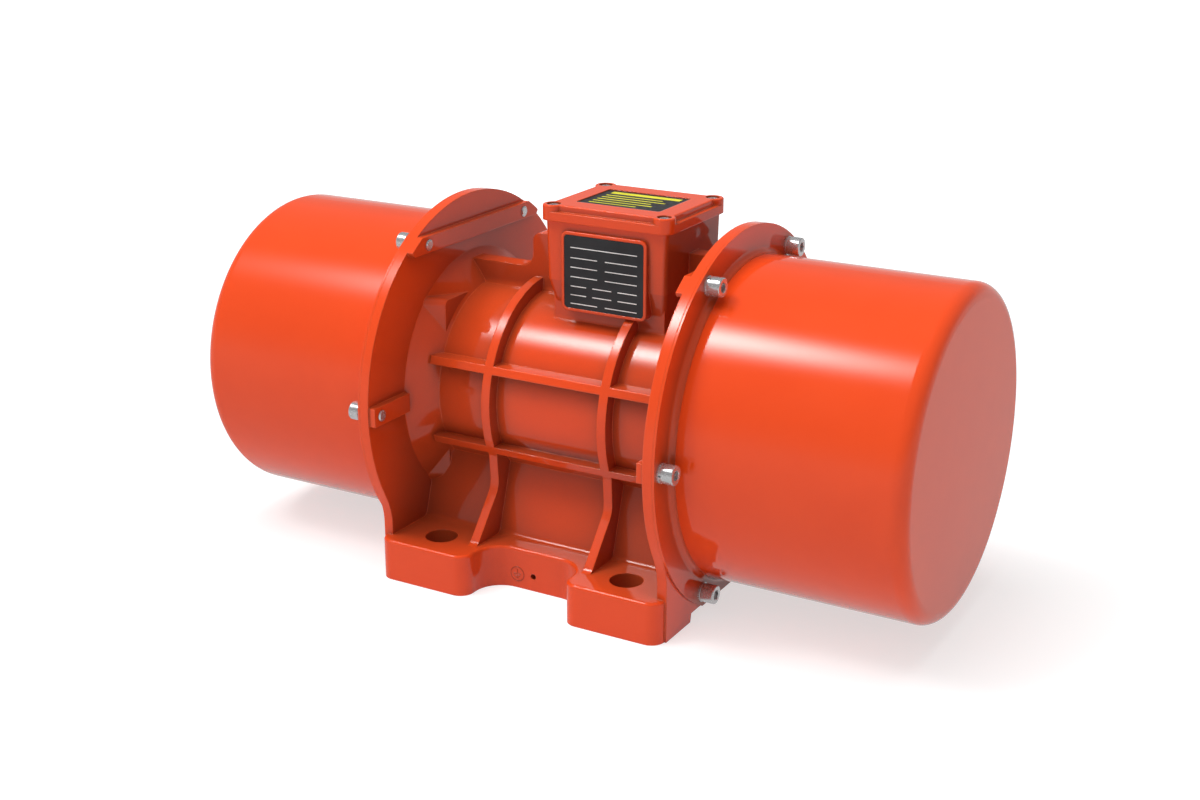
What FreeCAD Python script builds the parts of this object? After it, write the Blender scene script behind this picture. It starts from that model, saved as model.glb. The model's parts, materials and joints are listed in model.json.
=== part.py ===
"""Vibration motor: ribbed cast casing on four foot pads, end covers, terminal box and rotor.

Millimetres. X runs along the shaft, -Y is the front with the nameplate, Z is up. Every piece is
modelled around the middle of the shaft and lifted by shaft_height, so that the origin of the
finished part lies under its middle at the level of the feet.
"""
import FreeCAD, Part
import math
import os

# Clearances and shares
fit_gap = 0.02
turning_gap = 0.05
seat_gap = 0.3
side_gap = 0.15
tip_gap = 2.0
socket_width_share = 0.94
socket_depth_share = 0.5

# Barrel, end plates and cones of the casing
barrel_radius = 70.0
barrel_wall = 10.0
plate_radius = 132.8
plate_thickness = 7.0
plate_cut = 8.3
plate_face_x = 113.4
plate_side_inset = 22.4
plate_flank_angle = 29.0
plate_flank_z = -77.0
plate_flank_round = 40.0
cone_step = 21.0
cone_length = 15.4

# Ribs
rib_height = 9.3
ring_rib_x = 42.75
ring_rib_width = 6.75
long_rib_end_gap = 11.8
long_rib_upper_z = 25.1
long_rib_lower_z = -34.0
long_rib_width = 5.5

# Square corners that stand out of the cones: half sizes at the barrel and at the plate
corner_inset = 1.6
corner_inner_y = 57.2
corner_inner_z = 66.8
corner_inner_round = 4.0
corner_outer_y = 65.0
corner_outer_z = 69.0
corner_outer_round = 6.0

# Foot block
foot_thickness = 30.0
pad_front_y = 120.0
pad_inner_x = 39.0
pad_plate_step = 1.4
pad_round = 10.0
web_front_y = 86.6
web_round = 20.0
foot_edge_round = 2.0
foot_rail_y = 74.0
foot_recess = 6.2
foot_recess_draft = 1.4
foot_hole_spacing_x = 150.0
foot_hole_spacing_y = 190.0
foot_hole_radius = 11.5
earth_hole_x = -4.0
earth_hole_height = 10.9
earth_hole_radius = 2.1
earth_hole_depth = 9.0

# Skirt between barrel and foot, and the ribs that run down to the pads
skirt_top_z = -35.0
skirt_top_inset = 19.5
skirt_foot_y = 69.3
skirt_round = 4.5
leg_top_z = -36.0
leg_inset = 10.3
leg_bend_z = -60.0
leg_bend_round = 16.0
leg_foot_y = 98.0
leg_foot_round = 6.0
leg_root_depth = 20.0
join_depth = 5.0
wall_blend = 7.0
blend_reach = 13.0
blend_sink = 0.7

# Cover screws and the bars behind them
screw_edge = 9.3
screw_pitch_angle = 60.0
screw_radius = 4.0
screw_head_radius = 6.5
screw_head_height = 7.8
screw_tip_stand = 1.0
spring_washer_thickness = 1.8
spring_washer_inset = 0.2
spring_washer_cut = 1.0
flat_washer_thickness = 1.2
washer_radius = 6.75
bar_thickness = 4.8
bar_half_width = 6.75
bar_end_gap = 1.3
chord_bar_below = 5.5
chord_bar_above = 6.4
chord_bar_end = 19.5
chord_bar_round = 4.0

# Covers
cover_screw_gap = 11.0
cover_wall = 1.6
cover_length = 158.4
cover_corner_round = 10.0
rim_thickness = 1.6
rim_fillet = 4.0
rim_lip = 0.3
rim_flat_step = 0.2
seal_step = 2.6
seal_width = 3.0
seal_depth = 2.4

# Terminal box
box_x = 26.8
box_half_length = 46.0
box_half_width = 39.4
box_draft = 0.8
box_corner_round = 3.5
box_height = 60.5
box_taper_rise = 18.9
box_neck_rise = 2.6
box_neck_inset = 4.5
box_neck_end_inset = 3.0
box_wall = 7.2
box_floor_rise = 22.0
box_cavity_round = 9.0
lead_hole_radius = 8.0
gasket_thickness = 1.5
gasket_width = 2.6
lid_overhang_x = 4.0
lid_overhang_y = 3.9
lid_ledge_height = 6.2
lid_height = 10.6
lid_plateau_inset = 4.0
lid_plateau_round = 1.5
lid_boss_radius = 7.6
lid_top_round = 1.0
lid_screw_radius = 2.0
lid_screw_head_radius = 3.5
lid_screw_head_height = 4.0
lid_screw_length = 18.0
lid_screw_pocket_radius = 5.0
lid_screw_pocket_depth = 4.8
label_half_length = 32.2
label_half_width = 23.6
label_round = 1.5
label_recess = 1.4
label_thickness = 0.8

# Nameplate on the front of the terminal box
nameplate_x = 27.0
frame_half_length = 33.0
frame_border = 2.3
frame_height = 55.7
frame_below_rim = 5.6
frame_proud = 3.35
frame_root = 5.9
frame_round = 5.0
frame_edge_round = 0.8
nameplate_sink = 1.0
nameplate_thickness = 0.8

# Top fin and necks beside the terminal box
fin_half_width = 7.0
fin_rise = 16.0
fin_step_x = -50.5
fin_step_round = 10.0
neck_rise = 41.0
neck_round = 6.0

# Terminal board and what is on it
board_half_length = 31.0
board_half_width = 15.0
board_round = 3.0
board_thickness = 5.0
board_bar_width = 1.6
board_bar_height = 4.0
board_bar_inset = 2.0
board_post_x = 26.0
board_post_height = 4.0
board_post_radius = 4.5
board_screw_radius = 2.0
board_screw_head_radius = 3.6
board_screw_head_height = 2.5
board_screw_slot = 1.0
stud_spacing_x = 16.0
stud_spacing_y = 14.0
stud_radius = 2.5
stud_length = 17.0
stud_nut_height = 4.0
stud_nut_across = 8.0
link_width = 8.0
link_thickness = 1.2
box_earth_offset = -28.8
box_earth_y = 22.0
box_earth_head_height = 4.0
box_earth_washer_radius = 5.0

# Cable gland on the back of the terminal box
gland_below_rim = 22.5
gland_thread_radius = 10.0
gland_thread_depth = 7.0
gland_hex_across = 24.0
gland_hex_length = 6.0
gland_cap_radius = 11.0
gland_cap_round = 4.0
gland_cap_length = 13.0
gland_bore_radius = 5.5
gland_seal_wall = 2.0

# Stator
stator_half_length = 36.0
stator_depth = 22.0
stator_slots = 24
stator_back = 7.4
slot_width = 5.0
slot_flare = 1.0
slot_mouth = 2.0
tooth_tip = 1.6
winding_overhang = 24.0
winding_bore_gap = 3.5
winding_air_gap = 1.0
winding_core_gap = 3.0
winding_round = 5.0
coil_gap = 0.3

# Rotor
air_gap = 0.6
rotor_overhang = 1.0
rotor_depth = 17.4
rotor_ring_length = 8.0
rotor_ring_gap = 6.0
rotor_ring_inset = 1.5
rotor_fins = 8
rotor_fin_length = 7.0
rotor_fin_width = 3.0
journal_step = 2.5
weight_journal_step = 2.5
shaft_tail = 5.7
shaft_chamfer = 1.5

# Bearings and their flanges
bearing_width = 21.0
bearing_height = 22.5
outer_ring_wall = 6.5
inner_ring_wall = 6.5
race_lip = 2.7
outer_lip_height = 1.5
inner_lip_height = 1.6
roller_count = 12
roller_gap = 0.05
roller_end_gap = 0.1
cage_half_thickness = 2.7
cage_end_gap = 0.7
pocket_gap = 0.2
counterbore_depth = 13.4
flange_step = 15.7
flange_thickness = 8.0
flange_spigot_length = 23.0
flange_seat_depth = 7.5
flange_screw_step = 6.0
flange_screw_count = 6
flange_screw_radius = 2.5
flange_screw_length = 16.0
flange_screw_head_radius = 4.25
flange_screw_head_height = 5.0
bearing_cover_step = 12.0
bearing_cover_thickness = 4.0
bearing_cover_gap = 1.2
bearing_cover_recess = 2.0
bearing_cover_screw_step = 6.0
bearing_cover_screw_count = 4
bearing_cover_screw_radius = 2.0
bearing_cover_screw_length = 12.0
bearing_cover_screw_head_radius = 3.8
bearing_cover_screw_head_height = 3.0
spacer_wall = 4.5

# Unbalance weights
weight_gap = 4.0
weight_thickness = 53.0
weight_cover_gap = 14.9
weight_half_angle = 75.0
weight_hub_wall = 13.0
weight_corner_round = 6.0
weight_washer_thickness = 3.0
weight_washer_wall = 9.0
weight_key_width = 8.0
weight_key_height = 7.0
weight_key_inset = 6.0
weight_key_depth = 4.0
clamp_slot = 3.0
clamp_ear_half_width = 19.0
clamp_ear_wall = 11.0
clamp_bolt_gap = 15.0
clamp_bolt_radius = 5.0
clamp_head_across = 16.0
clamp_head_height = 6.4
clamp_nut_height = 8.0
clamp_bolt_tail = 3.0
setting_disc_wall = 25.0
setting_disc_thickness = 3.0
setting_notch = 3.0
shaft_nut_wall = 7.0
shaft_nut_thickness = 9.0
shaft_nut_slots = 4
shaft_nut_slot_width = 5.0
shaft_nut_slot_depth = 3.0

# Places on the casing that follow from the sizes above
shaft_height = plate_radius - plate_cut
plate_inner_x = plate_face_x - plate_thickness
plate_side_y = plate_radius - plate_side_inset
bar_x = plate_inner_x - bar_thickness
cone_x = plate_inner_x - cone_length
cone_radius = barrel_radius + cone_step
bore_radius = barrel_radius - barrel_wall
rib_radius = barrel_radius + rib_height
long_rib_end_x = plate_inner_x - long_rib_end_gap
foot_bottom_z = -shaft_height
foot_top_z = foot_bottom_z + foot_thickness
recess_z = foot_bottom_z + foot_recess
pad_outer_x = plate_face_x - pad_plate_step
foot_hole_x = foot_hole_spacing_x / 2
foot_hole_y = foot_hole_spacing_y / 2
leg_y = rib_radius - leg_inset
skirt_top_y = barrel_radius - skirt_top_inset
screw_circle = plate_radius - screw_edge
screw_angles = [i * screw_pitch_angle for i in range(round(360 / screw_pitch_angle))]
top_screw_y = screw_circle * math.cos(math.radians(screw_pitch_angle))
top_screw_z = screw_circle * math.sin(math.radians(screw_pitch_angle))

# Places on the covers
cover_radius = screw_circle - cover_screw_gap
cover_inner_radius = cover_radius - cover_wall
cover_end_x = plate_face_x + cover_length
rim_face_x = plate_face_x + rim_thickness
rim_flat_z = recess_z + rim_flat_step
seal_radius = cover_radius + seal_step

# Places on the terminal box
box_rim_z = barrel_radius + box_height
box_taper_z = barrel_radius + box_taper_rise
box_neck_z = barrel_radius + box_neck_rise
box_floor_z = barrel_radius + box_floor_rise
box_rim_x = box_half_length + box_draft
box_rim_y = box_half_width + box_draft
lid_half_length = box_half_length + lid_overhang_x
lid_half_width = box_half_width + lid_overhang_y
lid_screw_x = lid_half_length - lid_boss_radius
lid_screw_y = lid_half_width - lid_boss_radius
lid_top_z = box_rim_z + lid_height
lid_screw_seat_z = lid_top_z - lid_screw_pocket_depth
label_floor_z = lid_top_z - label_recess
frame_face_y = -box_half_width - frame_proud
frame_high_z = box_rim_z - frame_below_rim
frame_low_z = frame_high_z - frame_height
fin_top_z = barrel_radius + fin_rise
neck_top_z = barrel_radius + neck_rise
board_z = box_floor_z + board_post_height
board_top_z = board_z + board_thickness
box_earth_x = box_x + box_earth_offset
box_earth_z = box_floor_z + board_post_height / 2
gland_z = box_rim_z - gland_below_rim
gland_cap_y = box_rim_y + gland_hex_length

# Places along the shaft
rotor_half_length = stator_half_length + rotor_overhang
winding_half_length = stator_half_length + winding_overhang
flange_x = plate_face_x - counterbore_depth
flange_face_x = flange_x + flange_thickness
bearing_end_x = flange_face_x - flange_seat_depth
bearing_x = bearing_end_x - bearing_width
bearing_cover_face_x = flange_face_x + bearing_cover_thickness
weight_x = bearing_cover_face_x + bearing_cover_screw_head_height + weight_gap
weight_end_x = weight_x + weight_thickness
weight_washer_end_x = weight_end_x + weight_washer_thickness
adjustable_x = weight_washer_end_x + side_gap
adjustable_end_x = adjustable_x + weight_thickness
clamp_bolt_x = (adjustable_x + adjustable_end_x) / 2
setting_disc_x = adjustable_end_x + side_gap
shaft_nut_x = setting_disc_x + setting_disc_thickness
shaft_nut_end_x = shaft_nut_x + shaft_nut_thickness
shaft_end_x = shaft_nut_end_x + shaft_tail

# Radii round the shaft
stator_outer_radius = bore_radius - fit_gap
stator_inner_radius = bore_radius - stator_depth
slot_bottom_radius = bore_radius - stator_back
rotor_radius = stator_inner_radius - air_gap
rotor_shaft_radius = rotor_radius - rotor_depth
journal_radius = rotor_shaft_radius - journal_step
weight_journal_radius = journal_radius - weight_journal_step
rotor_ring_inner_radius = rotor_shaft_radius + rotor_ring_gap
rotor_ring_outer_radius = rotor_radius - rotor_ring_inset
bearing_outer_radius = journal_radius + bearing_height
outer_race_radius = bearing_outer_radius - outer_ring_wall
inner_race_radius = journal_radius + inner_ring_wall
roller_radius = (outer_race_radius - inner_race_radius) / 2 - roller_gap
roller_circle = (outer_race_radius + inner_race_radius) / 2
outer_lip_radius = outer_race_radius - outer_lip_height
inner_lip_radius = inner_race_radius + inner_lip_height
flange_radius = bore_radius + flange_step
flange_screw_circle = bore_radius + flange_screw_step
bearing_seat_radius = bearing_outer_radius + fit_gap
bearing_cover_radius = bearing_outer_radius + bearing_cover_step
bearing_cover_screw_circle = bearing_outer_radius + bearing_cover_screw_step
spacer_radius = journal_radius + spacer_wall
bearing_cover_bore = spacer_radius + bearing_cover_gap
weight_radius = cover_inner_radius - weight_cover_gap
weight_hub_radius = weight_journal_radius + weight_hub_wall
clamp_bolt_z = weight_journal_radius + clamp_bolt_gap + clamp_bolt_radius
weight_key_top_z = weight_journal_radius - weight_key_depth + weight_key_height
clamp_ear_top = clamp_bolt_z + clamp_ear_wall

# Angles round the shaft
slot_angles = [i * 360 / stator_slots for i in range(stator_slots)]
flange_screw_angles = [i * 360 / flange_screw_count for i in range(flange_screw_count)]
bearing_cover_screw_angles = [(i + 0.5) * 360 / bearing_cover_screw_count
                              for i in range(bearing_cover_screw_count)]

origin = FreeCAD.Vector(0, 0, 0)
x_axis = FreeCAD.Vector(1, 0, 0)
y_axis = FreeCAD.Vector(0, 1, 0)
z_axis = FreeCAD.Vector(0, 0, 1)


def vec(x, y, z):
    return FreeCAD.Vector(x, y, z)


def outline(points, place):
    """Closed wire through corners (a, b) or (a, b, radius); place maps a flat point into space."""
    corners = []
    for i, point in enumerate(points):
        corner = vec(point[0], point[1], 0)
        radius = point[2] if len(point) > 2 else 0
        if not radius:
            corners.append((corner, None, corner))
            continue
        last = points[i - 1]
        after = points[(i + 1) % len(points)]
        back = (vec(last[0], last[1], 0) - corner).normalize()
        ahead = (vec(after[0], after[1], 0) - corner).normalize()
        half = back.getAngle(ahead) / 2
        reach = radius / math.tan(half)
        middle = corner + (back + ahead).normalize() * (radius / math.sin(half) - radius)
        corners.append((corner + back * reach, middle, corner + ahead * reach))
    edges = []
    for i, (entry, middle, leave) in enumerate(corners):
        if middle is not None:
            edges.append(Part.Arc(place(entry), place(middle), place(leave)).toShape())
        following = corners[(i + 1) % len(corners)][0]
        if (following - leave).Length > 1e-6:
            edges.append(Part.LineSegment(place(leave), place(following)).toShape())
    return Part.Wire(edges)


def upright(solid):
    """The same solid with its faces turned outwards."""
    return solid if solid.Volume > 0 else solid.reversed()


def along_x(points, x0, x1):
    """Prism along X of an outline in (y, z)."""
    face = Part.Face(outline(points, lambda p: vec(x0, p.x, p.y)))
    return upright(face.extrude(vec(x1 - x0, 0, 0)))


def along_y(points, y0, y1):
    """Prism along Y of an outline in (x, z)."""
    face = Part.Face(outline(points, lambda p: vec(p.x, y0, p.y)))
    return upright(face.extrude(vec(0, y1 - y0, 0)))


def along_z(points, z0, z1):
    """Prism along Z of an outline in (x, y)."""
    face = Part.Face(outline(points, lambda p: vec(p.x, p.y, z0)))
    return upright(face.extrude(vec(0, 0, z1 - z0)))


def turned(points):
    """Solid of revolution about the shaft of an outline in (x, radius)."""
    face = Part.Face(outline(points, lambda p: vec(p.x, 0, p.y)))
    return upright(face.revolve(origin, x_axis, 360))


def disc(radius, x0, x1, y=0.0, z=0.0):
    return Part.makeCylinder(radius, x1 - x0, vec(x0, y, z), x_axis)


def ring(outer, inner, x0, x1):
    return disc(outer, x0, x1).cut(disc(inner, x0 - 1, x1 + 1))


def post(radius, x, y, z0, z1):
    return Part.makeCylinder(radius, z1 - z0, vec(x, y, z0), z_axis)


def block(x0, x1, y0, y1, z0, z1):
    return Part.makeBox(x1 - x0, y1 - y0, z1 - z0, vec(x0, y0, z0))


def rounded_block(half_x, half_y, radius, z0, z1, x=0.0, y=0.0):
    """Upright block with rounded corners."""
    corners = [(x - half_x, y - half_y, radius), (x + half_x, y - half_y, radius),
               (x + half_x, y + half_y, radius), (x - half_x, y + half_y, radius)]
    return along_z(corners, z0, z1)


def hexagon(across):
    """Corners (a, b) of a hexagon of the given width across its flats."""
    corner = across / math.sqrt(3)
    return [(corner * math.cos(math.radians(60 * i)), corner * math.sin(math.radians(60 * i)))
            for i in range(6)]


def fused(shapes):
    """All the shapes as one, with the seams inside flat and round faces taken out."""
    return shapes[0].multiFuse(shapes[1:]).removeSplitter() if len(shapes) > 1 else shapes[0]


def group(shapes):
    """Separate solids that share one node."""
    return Part.makeCompound([solid for shape in shapes for solid in shape.Solids])


def mirrored(shape):
    """The same piece on the other end of the shaft."""
    return shape.mirror(origin, x_axis)


def at_angle(shape, angle):
    """Turn a piece made at the top round the shaft: 0 is the front, 90 the top."""
    placed = shape.copy()
    placed.rotate(origin, x_axis, 90 - angle)
    return placed


def both_ends(shape):
    return [shape, mirrored(shape)]


def front_and_back(shape):
    return [shape, shape.mirror(origin, y_axis)]


def end_plate():
    """End plate with its cone: round above, straight sides down to the feet."""
    round_part = disc(plate_radius, plate_inner_x, plate_face_x)
    low = block(plate_inner_x - 1, plate_face_x + 1, -plate_radius, plate_radius,
                -2 * plate_radius, recess_z)
    start = math.radians(plate_flank_angle)
    start_y = plate_radius * math.cos(start)
    start_z = -plate_radius * math.sin(start)
    flank = [(start_y, start_z), (plate_side_y, plate_flank_z, plate_flank_round),
             (plate_side_y, foot_bottom_z), (foot_rail_y + foot_recess_draft, foot_bottom_z),
             (foot_rail_y, recess_z), (0, recess_z), (0, start_z)]
    sides = front_and_back(along_x(flank, plate_inner_x, plate_face_x))
    cone = turned([(cone_x, 0), (cone_x, barrel_radius), (plate_inner_x, cone_radius), (plate_inner_x, 0)])
    return [round_part.cut(low), cone] + sides


def cone_corners():
    """Tapered square block whose four corners stand out of the cone."""
    sections = []
    inner = (cone_x + corner_inset, corner_inner_y, corner_inner_z, corner_inner_round)
    outer = (plate_inner_x, corner_outer_y, corner_outer_z, corner_outer_round)
    for x, half_y, half_z, radius in (inner, outer):
        corners = [(-half_y, -half_z, radius), (half_y, -half_z, radius),
                   (half_y, half_z, radius), (-half_y, half_z, radius)]
        sections.append(outline(corners, lambda p, at=x: vec(at, p.x, p.y)))
    return upright(Part.makeLoft(sections, True, True))


def screw_bars():
    """Bars behind the end plate: one across the two top screws, one at each side screw."""
    end_y = top_screw_y + chord_bar_end
    low_z = top_screw_z - chord_bar_below
    high_z = top_screw_z + chord_bar_above
    profile = [(-end_y, low_z, chord_bar_round), (end_y, low_z, chord_bar_round),
               (end_y, high_z), (-end_y, high_z)]
    chord = along_x(profile, bar_x, plate_inner_x)
    bars = [chord.common(disc(plate_radius, bar_x, plate_inner_x))]
    side = block(bar_x, plate_inner_x, -plate_radius, -cone_radius, -bar_half_width, bar_half_width)
    bars += front_and_back(side.common(disc(plate_radius - bar_end_gap, bar_x, plate_inner_x)))
    return bars


def ring_rib():
    """Ring rib round the barrel that runs down to the foot pads."""
    x0 = ring_rib_x
    x1 = ring_rib_x + ring_rib_width
    root_z = leg_top_z + join_depth
    foot_z = foot_top_z - join_depth
    toe_y = leg_foot_y + leg_foot_round
    leg_top_y = math.sqrt(rib_radius ** 2 - leg_top_z ** 2)
    leg = [(0, root_z), (rib_radius - leg_root_depth, root_z), (leg_top_y, leg_top_z),
           (leg_y, leg_bend_z, leg_bend_round), (leg_foot_y, foot_top_z, leg_foot_round),
           (toe_y, foot_top_z), (toe_y, foot_z), (0, foot_z)]
    return [disc(rib_radius, x0, x1)] + front_and_back(along_x(leg, x0, x1))


def long_ribs():
    """Straight ribs along the barrel, front and back."""
    ribs = []
    for z in (long_rib_upper_z, long_rib_lower_z):
        bar = block(-long_rib_end_x, long_rib_end_x, -rib_radius, rib_radius, z, z + long_rib_width)
        ribs.append(bar.common(disc(rib_radius, -long_rib_end_x, long_rib_end_x)))
    return ribs


def foot_block():
    """Foot with four pads, its upper edges rounded, and the recess between its rails."""
    quarter = [(pad_outer_x, -pad_front_y, pad_round), (pad_inner_x, -pad_front_y, pad_round),
               (pad_inner_x, -web_front_y, web_round)]
    front = [(-x, y, r) for x, y, r in quarter] + [(x, y, r) for x, y, r in reversed(quarter)]
    back = [(-x, -y, r) for x, y, r in front]
    foot = along_z(front + back, foot_bottom_z, foot_top_z)
    top_edges = [edge for edge in foot.Edges if edge.BoundBox.ZMin > foot_top_z - 0.01]
    foot = foot.makeFillet(foot_edge_round, top_edges)
    reach = plate_face_x + 1
    recess = [(-foot_rail_y - foot_recess_draft, foot_bottom_z), (-foot_rail_y, recess_z),
              (foot_rail_y, recess_z), (foot_rail_y + foot_recess_draft, foot_bottom_z)]
    return foot.cut(along_x(recess, -reach, reach))


def skirt():
    """Block between barrel and foot, flared to the foot with a small round."""
    toe_y = skirt_foot_y + 2 * skirt_round
    half = [(skirt_top_y, skirt_top_z), (skirt_foot_y, foot_top_z, skirt_round),
            (toe_y, foot_top_z), (toe_y, foot_top_z - join_depth)]
    return along_x(mirrored_profile(half), -plate_inner_x, plate_inner_x)


def mirrored_profile(half):
    """Closed outline from its half on the positive side."""
    return half + [(-point[0], *point[1:]) for point in reversed(half)]


def wall_on_barrel(y, high_z):
    """Corners (y, z) of a wall that comes down on the barrel with a small round."""
    toe_y = y + blend_reach
    meet_z = math.sqrt(barrel_radius ** 2 - y ** 2) - blend_sink
    toe_z = math.sqrt(barrel_radius ** 2 - toe_y ** 2) - blend_reach / 4
    return [(y, high_z), (y, meet_z, wall_blend), (toe_y, toe_z)]


def box_base():
    """Terminal box outside: drafted walls, leaning lower part and blends onto the barrel."""
    reach = 2 * lid_half_length
    walls = [(box_rim_y, box_rim_z), (box_half_width, box_taper_z)]
    across = mirrored_profile(walls + wall_on_barrel(box_half_width - box_neck_inset, box_neck_z))
    neck_x = box_half_length - box_neck_end_inset
    ends = [(box_rim_x, box_rim_z), (box_half_length, box_taper_z), (neck_x, box_neck_z), (neck_x, 0)]
    lengthways = [(box_x + x, z) for x, z in mirrored_profile(ends)]
    shell = along_x(across, box_x - reach, box_x + reach).common(along_y(lengthways, -reach, reach))
    corners = [edge for edge in shell.Edges
               if edge.BoundBox.ZMin > box_neck_z - 0.1 and edge.BoundBox.ZMax - edge.BoundBox.ZMin > 10]
    return shell.makeFillet(box_corner_round, corners)


def lid_screw_places():
    return [(box_x + sx * lid_screw_x, sy * lid_screw_y) for sx in (-1, 1) for sy in (-1, 1)]


def lid_gasket():
    """Flat ring inside the rim of the terminal box, flush with it."""
    half_x = box_half_length - box_wall
    half_y = box_half_width - box_wall
    outer = rounded_block(half_x + gasket_width, half_y + gasket_width, box_cavity_round + gasket_width,
                          box_rim_z - gasket_thickness, box_rim_z, box_x)
    inner = rounded_block(half_x, half_y, box_cavity_round,
                          box_rim_z - 2 * gasket_thickness, box_rim_z + 1, box_x)
    return outer.cut(inner)


def box_cavity():
    """Room in the terminal box with the step for the gasket, and the holes that open into it."""
    room = rounded_block(box_half_length - box_wall, box_half_width - box_wall, box_cavity_round,
                         box_floor_z, box_rim_z + 1, box_x)
    screw_end_z = lid_screw_seat_z - lid_screw_length - tip_gap
    holes = [post(lid_screw_radius + fit_gap, x, y, screw_end_z, box_rim_z + 1)
             for x, y in lid_screw_places()]
    lead = post(lead_hole_radius, box_x, 0, bore_radius - join_depth, box_floor_z + 1)
    gland = Part.makeCylinder(gland_thread_radius + fit_gap, 2 * box_wall,
                              vec(box_x, box_rim_y + 1 - 2 * box_wall, gland_z), y_axis)
    return [room, lid_gasket(), lead, gland] + holes


def board_posts():
    """Two posts that carry the terminal board, and the boss of the inner earth screw."""
    root_z = box_floor_z - 1
    posts = [post(board_post_radius, x, 0, root_z, board_z) for x in board_screw_places()]
    posts.append(post(board_post_radius, box_earth_x, box_earth_y, root_z, box_earth_z))
    return posts


def nameplate_outline(half_length, z0, z1, radius):
    return [(nameplate_x - half_length, z0, radius), (nameplate_x + half_length, z0, radius),
            (nameplate_x + half_length, z1, radius), (nameplate_x - half_length, z1, radius)]


def nameplate_frame():
    """Raised rounded block on the front of the terminal box that holds the nameplate."""
    corners = nameplate_outline(frame_half_length, frame_low_z, frame_high_z, frame_round)
    frame = along_y(corners, frame_face_y, frame_root - box_half_width)
    front = [edge for edge in frame.Edges if edge.BoundBox.YMax < frame_face_y + 0.01]
    return frame.makeFillet(frame_edge_round, front)


def plate_area(gap):
    """Outline of the nameplate, smaller by a gap all round."""
    inset = frame_border + gap
    return nameplate_outline(frame_half_length - inset, frame_low_z + inset, frame_high_z - inset,
                             frame_round - frame_border)


def top_fin():
    """Low fin from the left end plate, stepped up to the neck that runs on to the right one."""
    side = [(-plate_inner_x, 0), (-plate_inner_x, fin_top_z), (fin_step_x, fin_top_z, fin_step_round),
            (fin_step_x, neck_top_z, neck_round), (plate_inner_x, neck_top_z), (plate_inner_x, 0)]
    section = mirrored_profile(wall_on_barrel(fin_half_width, neck_top_z))
    reach = 2 * fin_half_width + 2 * blend_reach
    return along_y(side, -reach, reach).common(along_x(section, -plate_inner_x, plate_inner_x))


def casing():
    """The whole casting."""
    solids = [disc(barrel_radius, -plate_inner_x, plate_inner_x)]
    solids += [piece for shape in end_plate() + screw_bars() + ring_rib() + [cone_corners()]
               for piece in both_ends(shape)]
    solids += long_ribs() + [foot_block(), skirt(), box_base(), nameplate_frame(), top_fin()]
    body = fused(solids)
    cuts = [disc(bore_radius, -plate_face_x - 1, plate_face_x + 1)]
    cuts += both_ends(disc(flange_radius + seat_gap, flange_x, plate_face_x + 1))
    groove = ring(seal_radius + seal_width / 2, seal_radius - seal_width / 2, plate_face_x - seal_depth,
                  plate_face_x + 1)
    cuts += both_ends(groove)
    cuts += screw_holes() + flange_screw_holes() + foot_holes() + box_cavity()
    cuts.append(along_y(plate_area(0), frame_face_y - 1, frame_face_y + nameplate_sink))
    body = body.cut(Part.makeCompound(cuts))
    return body.fuse(board_posts()).removeSplitter()


def screw_holes():
    holes = []
    for angle in screw_angles:
        hole = disc(screw_radius + fit_gap, bar_x - join_depth, plate_face_x + 1, 0, screw_circle)
        holes += both_ends(at_angle(hole, angle))
    return holes


def flange_screw_holes():
    holes = []
    depth = flange_screw_length - flange_thickness + tip_gap
    hole = disc(flange_screw_radius + fit_gap, flange_x - depth, flange_x + 1, 0, flange_screw_circle)
    for angle in flange_screw_angles:
        holes += both_ends(at_angle(hole, angle))
    return holes


def foot_holes():
    holes = [post(foot_hole_radius, sx * foot_hole_x, sy * foot_hole_y, foot_bottom_z - 1, foot_top_z + 1)
             for sx in (-1, 1) for sy in (-1, 1)]
    earth = Part.makeCylinder(earth_hole_radius, earth_hole_depth + 1,
                              vec(earth_hole_x, -web_front_y - 1, foot_bottom_z + earth_hole_height), y_axis)
    return holes + [earth]


def cover():
    """Drawn cup over the unbalance weights."""
    return turned([(plate_face_x, cover_inner_radius), (plate_face_x, cover_radius),
                   (cover_end_x, cover_radius, cover_corner_round), (cover_end_x, 0),
                   (cover_end_x - cover_wall, 0),
                   (cover_end_x - cover_wall, cover_inner_radius, cover_corner_round - cover_wall)])


def cover_rim():
    """Ring plate round the mouth of the cover, with its bead, cut flat below."""
    inner = cover_radius + fit_gap
    bead_x = rim_face_x + rim_fillet + rim_lip
    plate = turned([(plate_face_x, inner), (plate_face_x, plate_radius), (rim_face_x, plate_radius),
                    (rim_face_x, inner + rim_lip, rim_fillet), (bead_x, inner + rim_lip), (bead_x, inner)])
    low = block(plate_face_x - 1, bead_x + 1, -plate_radius, plate_radius,
                -2 * plate_radius, rim_flat_z)
    hole = disc(screw_radius + seat_gap, plate_face_x - 1, rim_face_x + 1, 0, screw_circle)
    return plate.cut(Part.makeCompound([low] + [at_angle(hole, angle) for angle in screw_angles]))


def cover_seal():
    return ring(seal_radius + seal_width / 2 - fit_gap, seal_radius - seal_width / 2 + fit_gap,
                plate_face_x - seal_depth, plate_face_x)


def socket_screw(radius, length, head_radius, head_height, x):
    """Socket head screw along X with the underside of its head at x."""
    end_x = x + head_height
    socket_x = end_x - socket_depth_share * head_height
    socket = along_x(hexagon(socket_width_share * head_radius), socket_x, end_x + 1)
    return fused([disc(head_radius, x, end_x), disc(radius, x - length, x + 1)]).cut(socket)


def cover_screws():
    """Six socket head screws that hold the cover."""
    seat = rim_face_x + flat_washer_thickness + spring_washer_thickness
    length = seat - bar_x + screw_tip_stand
    screw = socket_screw(screw_radius, length, screw_head_radius, screw_head_height, seat)
    screw.translate(vec(0, 0, screw_circle))
    return group([at_angle(screw, angle) for angle in screw_angles])


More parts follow.
